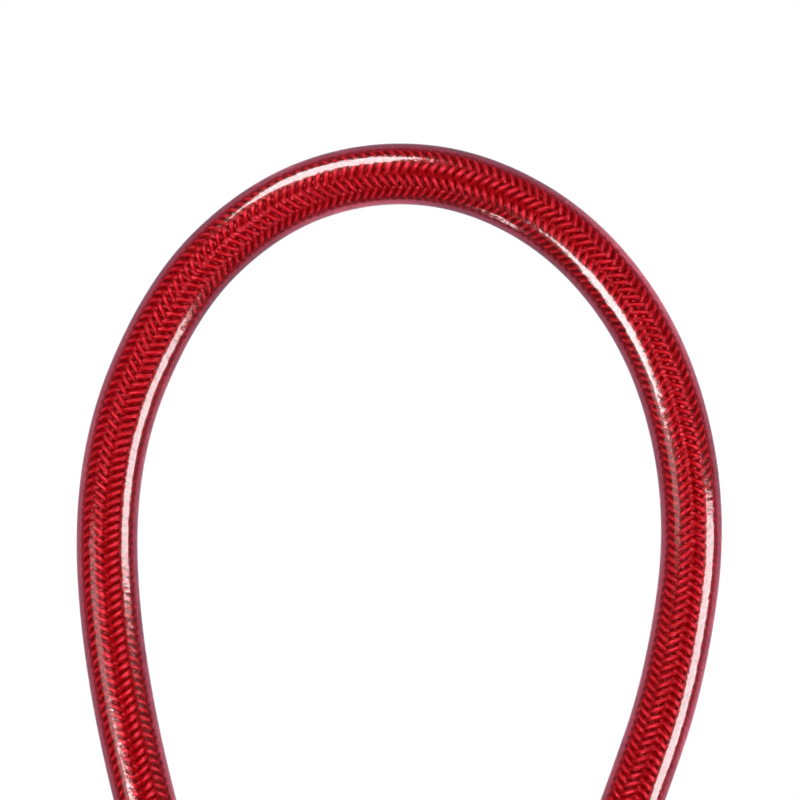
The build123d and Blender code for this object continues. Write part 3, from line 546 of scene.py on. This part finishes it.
def combine(tree, how, first, second):
    """Add or multiply two values, or a value and a number, held between 0 and 1."""
    joined = tree.nodes.new("ShaderNodeMath")
    joined.operation = how
    joined.use_clamp = True
    tree.links.new(first, joined.inputs[0])
    if isinstance(second, float):
        joined.inputs[1].default_value = second
    else:
        tree.links.new(second, joined.inputs[1])
    return joined.outputs["Value"]


def noise(tree, place, scale, detail):
    """Add a noise at a scale in features per metre, or at a scale from a socket."""
    pattern = tree.nodes.new("ShaderNodeTexNoise")
    pattern.inputs["Detail"].default_value = detail
    if isinstance(scale, float):
        pattern.inputs["Scale"].default_value = scale
    else:
        tree.links.new(scale, pattern.inputs["Scale"])
    tree.links.new(place, pattern.inputs["Vector"])
    return pattern.outputs["Fac"]


handling, handling_in, handling_out = effect_group(
    "handling_marks",
    [("Place", "NodeSocketVector", None), ("Smudge Scale", "NodeSocketFloat", 160.0),
     ("Grain Scale", "NodeSocketFloat", 5000.0)],
    ["Smudge", "Grain", "Scratch"],
)
smudge = noise(handling, handling_in.outputs["Place"], handling_in.outputs["Smudge Scale"], 4.0)
handling.links.new(remap(handling, smudge, 0.35, 0.70, 0.0, 1.0), handling_out.inputs["Smudge"])
grain = noise(handling, handling_in.outputs["Place"], handling_in.outputs["Grain Scale"], 2.0)
handling.links.new(grain, handling_out.inputs["Grain"])
scratch_way = handling.nodes.new("ShaderNodeMapping")
scratch_way.inputs["Rotation"].default_value = scratch_slant
scratch_way.inputs["Scale"].default_value = scratch_stretch
handling.links.new(handling_in.outputs["Place"], scratch_way.inputs["Vector"])
scratch = noise(handling, scratch_way.outputs["Vector"], 1.0, 1.0)
handling.links.new(remap(handling, scratch, 0.66, 0.72, 0.0, 1.0), handling_out.inputs["Scratch"])

edge_rub, rub_in, rub_out = effect_group(
    "edge_rub",
    [("Place", "NodeSocketVector", None), ("Half Size", "NodeSocketVector", (0.01, 0.01, 0.01)),
     ("Middle", "NodeSocketVector", (0.0, 0.0, 0.0))],
    ["Rub"],
)
from_middle = edge_rub.nodes.new("ShaderNodeVectorMath")
from_middle.operation = "SUBTRACT"
edge_rub.links.new(rub_in.outputs["Place"], from_middle.inputs[0])
edge_rub.links.new(rub_in.outputs["Middle"], from_middle.inputs[1])
either_way = edge_rub.nodes.new("ShaderNodeVectorMath")
either_way.operation = "ABSOLUTE"
edge_rub.links.new(from_middle.outputs["Vector"], either_way.inputs[0])
inward = edge_rub.nodes.new("ShaderNodeVectorMath")
inward.operation = "SUBTRACT"
edge_rub.links.new(rub_in.outputs["Half Size"], inward.inputs[0])
edge_rub.links.new(either_way.outputs["Vector"], inward.inputs[1])
inward_parts = edge_rub.nodes.new("ShaderNodeSeparateXYZ")
edge_rub.links.new(inward.outputs["Vector"], inward_parts.inputs["Vector"])
near_x, near_y, near_z = [
    remap(edge_rub, inward_parts.outputs[way], rub_shallow, rub_deep, 1.0, 0.0) for way in "XYZ"
]
edges = combine(
    edge_rub, "ADD",
    combine(edge_rub, "ADD", combine(edge_rub, "MULTIPLY", near_x, near_y),
            combine(edge_rub, "MULTIPLY", near_y, near_z)),
    combine(edge_rub, "MULTIPLY", near_x, near_z),
)
patches = noise(edge_rub, rub_in.outputs["Place"], rub_patch_scale, 5.0)
rubbed = combine(edge_rub, "MULTIPLY", edges, remap(edge_rub, patches, 0.50, 0.66, 0.0, 1.0))
edge_rub.links.new(rubbed, rub_out.inputs["Rub"])


def start_finish(name, metallic, smudge_scale, grain_scale):
    """Start a material: its tree, its shader, its place on the object and handling marks."""
    finish = bpy.data.materials.new(name)
    finish.use_nodes = True
    tree = finish.node_tree
    tree.nodes["Principled BSDF"].inputs["Metallic"].default_value = metallic
    place = tree.nodes.new("ShaderNodeTexCoord").outputs["Object"]
    marks = tree.nodes.new("ShaderNodeGroup")
    marks.node_tree = handling
    marks.inputs["Smudge Scale"].default_value = smudge_scale
    marks.inputs["Grain Scale"].default_value = grain_scale
    tree.links.new(place, marks.inputs["Place"])
    return finish, tree, tree.nodes["Principled BSDF"], place, marks


def two_colours(tree, mask, low_colour, high_colour):
    """Blend two colours by a mask."""
    blend = tree.nodes.new("ShaderNodeMix")
    blend.data_type = "RGBA"
    tree.links.new(mask, blend.inputs["Factor"])
    for socket, colour in zip((blend.inputs["A"], blend.inputs["B"]), (low_colour, high_colour)):
        if isinstance(colour, tuple):
            socket.default_value = (*colour, 1.0)
        else:
            tree.links.new(colour, socket)
    return blend.outputs["Result"]


def raise_surface(tree, shader, height, depth, strength):
    """Give the shader a bump of the given depth in metres."""
    bump = tree.nodes.new("ShaderNodeBump")
    bump.inputs["Strength"].default_value = strength
    bump.inputs["Distance"].default_value = depth
    tree.links.new(height, bump.inputs["Height"])
    tree.links.new(bump.outputs["Normal"], shader.inputs["Normal"])


def finish_nodes(names, finish):
    """Put a material on CAD nodes."""
    for name in names:
        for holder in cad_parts[name].material_slots:
            holder.material = finish


powder, tree, shader, place, marks = start_finish("satin_black_powder_coat", 0.0, 120.0, 2600.0)
rub = tree.nodes.new("ShaderNodeGroup")
rub.node_tree = edge_rub
rub.inputs["Half Size"].default_value = case_half
rub.inputs["Middle"].default_value = case_middle
tree.links.new(place, rub.inputs["Place"])
coat_colour = two_colours(
    tree, marks.outputs["Smudge"], (0.010, 0.0105, 0.012), (0.014, 0.0145, 0.016)
)
tree.links.new(
    two_colours(tree, rub.outputs["Rub"], coat_colour, (0.12, 0.118, 0.115)),
    shader.inputs["Base Color"],
)
tree.links.new(rub.outputs["Rub"], shader.inputs["Metallic"])
shader.inputs["Specular IOR Level"].default_value = 0.35
tree.links.new(
    remap(tree, marks.outputs["Smudge"], 0.0, 1.0, 0.36, 0.42), shader.inputs["Roughness"]
)
raise_surface(tree, shader, marks.outputs["Grain"], 0.00005, 0.45)
finish_nodes(["front_casing", "rear_cover"], powder)

# Casing screws: five countersunk steel screws, blackened in hot salts and oiled.
# They are driven in with a hex key, and handling leaves fine bright scratches on them.
blacked, tree, shader, place, marks = start_finish("blackened_screw_steel", 1.0, 700.0, 9000.0)
tree.links.new(
    two_colours(tree, marks.outputs["Scratch"], (0.10, 0.10, 0.11), (0.42, 0.41, 0.40)),
    shader.inputs["Base Color"],
)
tree.links.new(
    remap(tree, marks.outputs["Smudge"], 0.0, 1.0, 0.30, 0.46), shader.inputs["Roughness"]
)
raise_surface(tree, shader, marks.outputs["Grain"], 0.00001, 0.4)
finish_nodes(["casing_screws"], blacked)

# Dial bezel: a thin aluminium plate, brushed along its length and anodised graphite.
# It is let into the front, and two white arrowheads on it show where the code is read.
brush_stretch = (45.0, 400.0, 5200.0)
bezel_low, bezel_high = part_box("dial_bezel")
bezel_face_y = bezel_low[1]
dial_axis = (-0.0016, 0.0180)
brushed, tree, shader, place, marks = start_finish("brushed_aluminium", 1.0, 140.0, 8000.0)
shader.inputs["Anisotropic"].default_value = 0.55
brush_way = tree.nodes.new("ShaderNodeMapping")
brush_way.inputs["Scale"].default_value = brush_stretch
tree.links.new(place, brush_way.inputs["Vector"])
brush = noise(tree, brush_way.outputs["Vector"], 1.0, 3.0)
brush_lines = remap(tree, brush, 0.3, 0.7, 0.0, 1.0)
tree.links.new(
    two_colours(tree, brush_lines, (0.11, 0.112, 0.118), (0.19, 0.192, 0.20)),
    shader.inputs["Base Color"],
)
brush_rough = combine(tree, "ADD", remap(tree, brush, 0.3, 0.7, 0.24, 0.38),
                      remap(tree, marks.outputs["Smudge"], 0.0, 1.0, 0.0, 0.08))
tree.links.new(brush_rough, shader.inputs["Roughness"])
raise_surface(tree, shader, brush, 0.00001, 0.5)
finish_nodes(["dial_bezel"], brushed)

white_ink, tree, shader, place, marks = start_finish("white_filled_ink", 0.0, 900.0, 12000.0)
tree.links.new(
    two_colours(tree, marks.outputs["Smudge"], (0.62, 0.62, 0.60), (0.46, 0.46, 0.45)),
    shader.inputs["Base Color"],
)
tree.links.new(
    remap(tree, marks.outputs["Grain"], 0.3, 0.7, 0.42, 0.60), shader.inputs["Roughness"]
)
raise_surface(tree, shader, marks.outputs["Grain"], 0.000006, 0.5)

mark_radius = 0.00042
mark_thickness = 0.00006
mark_inset = 0.00062
for name, mark_x, point_way in (
    ("left_index_mark", bezel_low[0] + mark_inset, 1.0),
    ("right_index_mark", bezel_high[0] - mark_inset, -1.0),
):
    bpy.ops.object.select_all(action="DESELECT")
    bpy.ops.mesh.primitive_cylinder_add(
        vertices=3, radius=mark_radius, depth=mark_thickness,
        location=(mark_x, bezel_face_y, dial_axis[1]),
        rotation=(math.radians(90.0), point_way * math.radians(90.0), 0.0),
    )
    mark = bpy.context.object
    mark.name = name
    bpy.ops.object.transform_apply(location=True, rotation=True, scale=True)
    rounding = mark.modifiers.new("rounding", "BEVEL")
    rounding.width = 0.00002
    rounding.segments = 3
    bpy.ops.object.modifier_apply(modifier=rounding.name)
    bpy.ops.object.shade_smooth_by_angle(angle=math.radians(30.0))
    mark.data.materials.append(white_ink)
    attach(mark, "casing")

# Dials: three moulded rings of black acetal, with ten grip notches, a fine matt spark
# finish and sunk digits filled with white. Each turns its code sleeve by two teeth.
dial_outer_radius = 0.0062
digit_height = 0.0033
digit_top = 0.000012
digit_depth = 0.00008
digit_cuts = 9
digit_step = math.radians(36.0)
dial_plastic, tree, shader, place, marks = start_finish("black_acetal", 0.0, 260.0, 7000.0)
tree.links.new(
    two_colours(tree, marks.outputs["Smudge"], (0.020, 0.020, 0.022), (0.042, 0.041, 0.041)),
    shader.inputs["Base Color"],
)
tree.links.new(
    remap(tree, marks.outputs["Smudge"], 0.0, 1.0, 0.30, 0.50), shader.inputs["Roughness"]
)
raise_surface(tree, shader, marks.outputs["Grain"], 0.00001, 0.6)
finish_nodes(["dial_1", "dial_2", "dial_3"], dial_plastic)

for number, body in ((1, "dial_one"), (2, "dial_two"), (3, "dial_three")):
    dial_low, dial_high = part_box("dial_" + str(number))
    dial_middle_x = 0.5 * (dial_low[0] + dial_high[0])
    bpy.ops.object.select_all(action="DESELECT")
    digits = []
    for digit in range(10):
        bpy.ops.object.text_add()
        lettering = bpy.context.object
        lettering.data.body = str(digit)
        lettering.data.size = digit_height
        lettering.data.align_x = "CENTER"
        lettering.data.align_y = "CENTER"
        lettering.data.resolution_u = 8
        bpy.ops.object.convert(target="MESH")
        bpy.ops.object.mode_set(mode="EDIT")
        for cut in range(1, digit_cuts + 1):
            bpy.ops.mesh.select_all(action="SELECT")
            cut_height = digit_height * (cut / (digit_cuts + 1.0) - 0.5)
            bpy.ops.mesh.bisect(plane_co=(0.0, cut_height, 0.0), plane_no=(0.0, 1.0, 0.0))
        bpy.ops.mesh.select_all(action="SELECT")
        bpy.ops.mesh.remove_doubles(threshold=0.000002)
        bpy.ops.mesh.normals_make_consistent(inside=False)
        bpy.ops.object.mode_set(mode="OBJECT")
        filling = bpy.context.object
        wall = filling.modifiers.new("wall", "SOLIDIFY")
        wall.thickness = digit_depth
        wall.offset = 0.0
        bpy.ops.object.modifier_apply(modifier=wall.name)
        corner_y = [vertex.co.y for vertex in filling.data.vertices]
        middle_y = 0.5 * (min(corner_y) + max(corner_y))
        corner_x = [vertex.co.x for vertex in filling.data.vertices]
        middle_x = 0.5 * (min(corner_x) + max(corner_x))
        for vertex in filling.data.vertices:
            across, up, out = vertex.co
            angle = (up - middle_y) / dial_outer_radius - digit * digit_step
            reach = dial_outer_radius + digit_top - 0.5 * digit_depth + out
            vertex.co = (
                dial_middle_x + across - middle_x,
                dial_axis[0] - reach * math.cos(angle),
                dial_axis[1] + reach * math.sin(angle),
            )
        digits.append(filling)
    for filling in digits:
        filling.select_set(True)
    bpy.context.view_layer.objects.active = digits[0]
    bpy.ops.object.join()
    figures = bpy.context.object
    figures.name = "digits_" + str(number)
    bpy.ops.object.mode_set(mode="EDIT")
    bpy.ops.mesh.select_all(action="SELECT")
    bpy.ops.mesh.normals_make_consistent(inside=False)
    bpy.ops.object.mode_set(mode="OBJECT")
    figures.data.materials.clear()
    figures.data.materials.append(white_ink)
    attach(figures, body)

# Nickel-plated pieces: the plug's ferrule, the two bushes and the release button are
# turned from brass bar, so fine rings run round them under the bright plate.
rings_round_z = (1.0, 1.0, 26000.0)
rings_round_x = (26000.0, 1.0, 1.0)
nickel_colours = ((0.70, 0.69, 0.68), (0.78, 0.77, 0.75))


def machined_metal(name, low_colour, high_colour, low_rough, high_rough, stretch):
    """Make a machined metal, with fine tool marks along the way of the largest stretch."""
    finish, tree, shader, place, marks = start_finish(name, 1.0, 240.0, 9000.0)
    ring_way = tree.nodes.new("ShaderNodeMapping")
    ring_way.inputs["Scale"].default_value = stretch
    tree.links.new(place, ring_way.inputs["Vector"])
    rings = noise(tree, ring_way.outputs["Vector"], 1.0, 2.0)
    tree.links.new(
        two_colours(tree, marks.outputs["Smudge"], low_colour, high_colour),
        shader.inputs["Base Color"],
    )
    worn = combine(
        tree, "ADD", remap(tree, marks.outputs["Smudge"], 0.0, 1.0, low_rough, high_rough),
        combine(tree, "MULTIPLY", marks.outputs["Scratch"], 0.12),
    )
    tree.links.new(worn, shader.inputs["Roughness"])
    raise_surface(tree, shader, rings, 0.000004, 0.6)
    return finish


bright_nickel = machined_metal("bright_nickel", *nickel_colours, 0.12, 0.24, rings_round_z)
finish_nodes(["socket_bush", "cable_bush", "plug_ferrule"], bright_nickel)
button_nickel = machined_metal("button_nickel", *nickel_colours, 0.14, 0.30, rings_round_x)
finish_nodes(["release_button"], button_nickel)

# Turned steel: the spindle and its cup have rings round X, and the plug's pin, the fixed
# ferrule and the reset pin round Z. They are ground after turning and lightly oiled.
steel_colours = ((0.50, 0.51, 0.53), (0.60, 0.60, 0.61))
coarse_rings_round_x = (22000.0, 1.0, 1.0)
turned_steel = machined_metal("turned_steel", *steel_colours, 0.26, 0.40, coarse_rings_round_x)
finish_nodes(["spindle", "spring_cup"], turned_steel)
pin_steel = machined_metal(
    "ground_pin_steel", (0.52, 0.53, 0.54), (0.62, 0.62, 0.63), 0.18, 0.32, rings_round_z
)
finish_nodes(["plug_pin", "fixed_ferrule", "reset_pin"], pin_steel)

# Springs: hard-drawn wire and strip, blued by the heat that sets them. The latch leaf,
# the click spring and the retaining clip are blanked from strip, the coils are wound.
blued, tree, shader, place, marks = start_finish("blued_spring_steel", 1.0, 380.0, 9000.0)
tree.links.new(
    two_colours(tree, marks.outputs["Smudge"], (0.30, 0.35, 0.46), (0.50, 0.46, 0.42)),
    shader.inputs["Base Color"],
)
tree.links.new(
    remap(tree, marks.outputs["Grain"], 0.3, 0.7, 0.24, 0.36), shader.inputs["Roughness"]
)
raise_surface(tree, shader, marks.outputs["Grain"], 0.000004, 0.5)
finish_nodes(
    ["click_spring", "latch_leaf", "ejector_spring", "spindle_spring", "reset_spring",
     "retaining_clip"],
    blued,
)

# Brass and stamped steel: the key cylinder, its rotor and wafers and the code sleeves are
# machined from brass and left bare. The cam, the comb and the rivets are pressed steel.
bare_brass = machined_metal(
    "machined_brass", (0.76, 0.56, 0.25), (0.62, 0.43, 0.18), 0.20, 0.36, rings_round_z
)
finish_nodes(
    ["cylinder_housing", "key_rotor", "wafers", "sleeve_1", "sleeve_2", "sleeve_3"], bare_brass
)
even_grain = (3000.0, 3000.0, 3000.0)
stamped_steel = machined_metal("stamped_steel", *steel_colours, 0.30, 0.46, even_grain)
finish_nodes(["key_cam", "reset_comb", "click_rivets"], stamped_steel)
